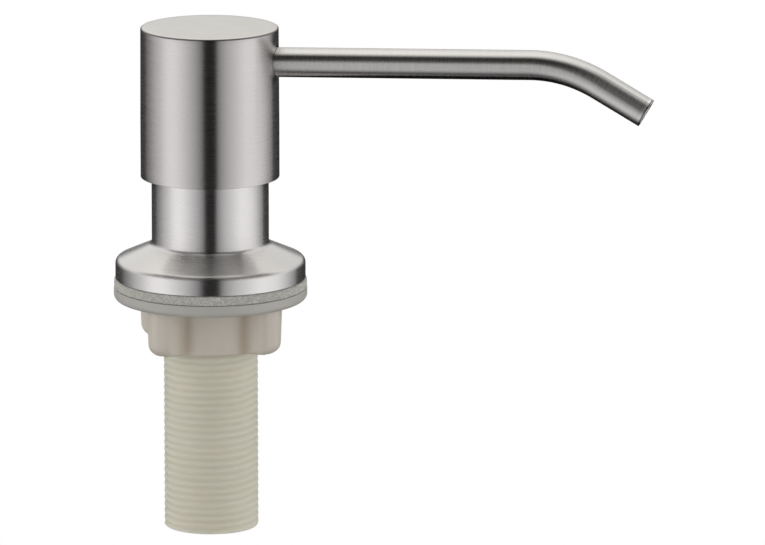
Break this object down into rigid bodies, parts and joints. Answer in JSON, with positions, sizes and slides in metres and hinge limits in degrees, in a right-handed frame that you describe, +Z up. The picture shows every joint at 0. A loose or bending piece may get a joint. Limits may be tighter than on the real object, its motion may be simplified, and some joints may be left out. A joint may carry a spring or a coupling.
{
  "type": "soap pump dispenser",
  "caption": "Deck-mounted soap pump: brushed round press head with a slim bent spout, flanged neck, threaded shank and lobed clamp nut.",
  "frame": {"origin": "on the vertical axis, in the plane where the deck gasket's underside meets the countertop", "axes": "+Z up along the dispenser's axis, +X along the spout"},
  "size_m": [0.1465, 0.052, 0.1367],
  "materials": {
    "head_steel": "fine circumferential brushing, satin",
    "body_steel": "fine circumferential brushing, satin",
    "shank_plastic": "natural moulded plastic, slightly translucent",
    "washer_plastic": "natural moulded plastic",
    "nut_plastic": "natural moulded plastic",
    "gasket_foam": "granular closed-cell foam",
    "pump_plastic": "moulded, satin",
    "cylinder_plastic": "moulded, satin",
    "piston_plastic": "soft moulded plastic",
    "tube_plastic": "extruded flexible tube",
    "spring_steel": "bright drawn wire and ground balls",
    "seal_rubber": "black moulded seal"
  },
  "bodies": {
    "frame": {"flange_body": "body_steel", "shank": "shank_plastic", "deck_gasket": "gasket_foam"},
    "washer": {"clamp_washer": "washer_plastic"},
    "nut": {"lock_nut": "nut_plastic"},
    "cartridge": {"pump_collar": "pump_plastic", "collar_seal": "seal_rubber", "stem_guide": "pump_plastic", "pump_cylinder": "cylinder_plastic", "ball_cage": "pump_plastic", "dip_tube": "tube_plastic", "return_spring": "spring_steel"},
    "plunger": {"pump_stem": "pump_plastic", "piston": "piston_plastic", "piston_retainer": "pump_plastic"},
    "head": {"head_cap": "head_steel", "head_core": "pump_plastic", "spout_tube": "head_steel", "stem_seal": "seal_rubber", "spout_seal": "seal_rubber"},
    "outlet_valve": {"outlet_ball": "spring_steel"},
    "inlet_valve": {"inlet_ball": "spring_steel"}
  },
  "joints": [
    {"name": "nut_travel", "type": "slide", "parent": "frame", "child": "washer", "axis": [0, 0, 1], "range_m": [-0.044, 0]},
    {"name": "nut_spin", "type": "hinge", "parent": "washer", "child": "nut", "pos_m": [0, 0, -0.01], "axis": [0, 0, 1], "range_deg": [-8340, 0]},
    {"name": "pump_lift", "type": "slide", "parent": "frame", "child": "cartridge", "axis": [0, 0, 1], "range_m": [0, 0.1]},
    {"name": "head_press", "type": "slide", "parent": "cartridge", "child": "plunger", "axis": [0, 0, 1], "range_m": [-0.012, 0], "stiffness_N_per_m": 600, "springref_m": 0.012, "deforming": ["return_spring"]},
    {"name": "head_swivel", "type": "hinge", "parent": "plunger", "child": "head", "pos_m": [0, 0, 0.058], "axis": [0, 0, 1], "continuous": true},
    {"name": "outlet_ball_lift", "type": "slide", "parent": "plunger", "child": "outlet_valve", "axis": [0, 0, 1], "range_m": [0, 0.0012]},
    {"name": "inlet_ball_lift", "type": "slide", "parent": "cartridge", "child": "inlet_valve", "axis": [0, 0, 1], "range_m": [0, 0.0015]}
  ],
  "couplings": [
    {"joint": "nut_spin", "follows": "nut_travel", "rad_per_m": 3306.9}
  ]
}
